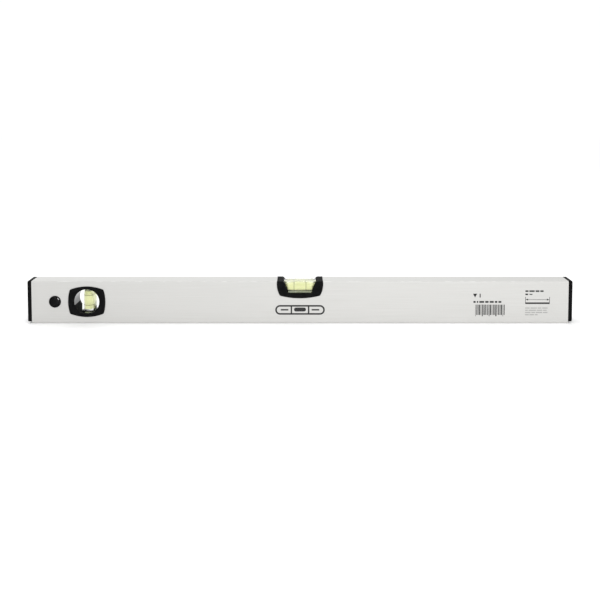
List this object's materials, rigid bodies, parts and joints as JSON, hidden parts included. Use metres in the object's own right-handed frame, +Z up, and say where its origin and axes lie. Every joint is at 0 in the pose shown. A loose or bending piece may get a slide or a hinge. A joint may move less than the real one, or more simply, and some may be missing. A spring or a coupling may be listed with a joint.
{
  "type": "spirit level",
  "caption": "Box-section spirit level with a level vial in its top edge, a plumb vial and a hanging hole near one end, and plastic end caps; checks surfaces for level and plumb.",
  "frame": {"origin": "middle of the lower measuring face, at mid length and mid depth", "axes": "+X along the length, away from the plumb vial; +Y from the front face to the rear face; +Z up, from the measuring face to the edge with the level vial"},
  "size_m": [0.6, 0.021, 0.047],
  "materials": {
    "section": "light silver-grey satin coat on extruded aluminium, with a fine lengthwise grain",
    "black_plastic": "black moulded plastic, fine texture, low sheen",
    "acrylic": "clear polished acrylic",
    "plug": "translucent plastic plug",
    "fluid": "clear yellow-green liquid",
    "bubble": "clear air bubble",
    "ring": "black marking ring",
    "glue": "clear set glue"
  },
  "bodies": {
    "frame": {"body_profile": "section", "end_cap_left": "black_plastic", "end_cap_right": "black_plastic", "hang_bush_front": "black_plastic", "hang_bush_rear": "black_plastic", "level_housing_front": "black_plastic", "level_housing_rear": "black_plastic", "level_vial_block": "acrylic", "level_vial_plug": "plug", "level_ring_left": "ring", "level_ring_right": "ring", "level_fluid": "fluid", "level_vial_glue": "glue", "plumb_housing_front": "black_plastic", "plumb_housing_rear": "black_plastic", "plumb_vial_block": "acrylic", "plumb_vial_plug": "plug", "plumb_ring_lower": "ring", "plumb_ring_upper": "ring", "plumb_fluid": "fluid", "plumb_vial_glue": "glue"},
    "level_bubble_body": {"level_bubble": "bubble"},
    "plumb_bubble_body": {"plumb_bubble": "bubble"}
  },
  "joints": [
    {"name": "level_bubble_travel", "type": "slide", "parent": "frame", "child": "level_bubble_body", "axis": [1, 0, 0], "range_m": [-0.012, 0.012], "stiffness_N_per_m": 0.0065, "deforming": ["level_fluid"]},
    {"name": "plumb_bubble_travel", "type": "slide", "parent": "frame", "child": "plumb_bubble_body", "axis": [0, 0, 1], "range_m": [-0.0158, 0], "stiffness_N_per_m": 0.05, "springref_m": 0.05, "deforming": ["plumb_fluid"]}
  ]
}
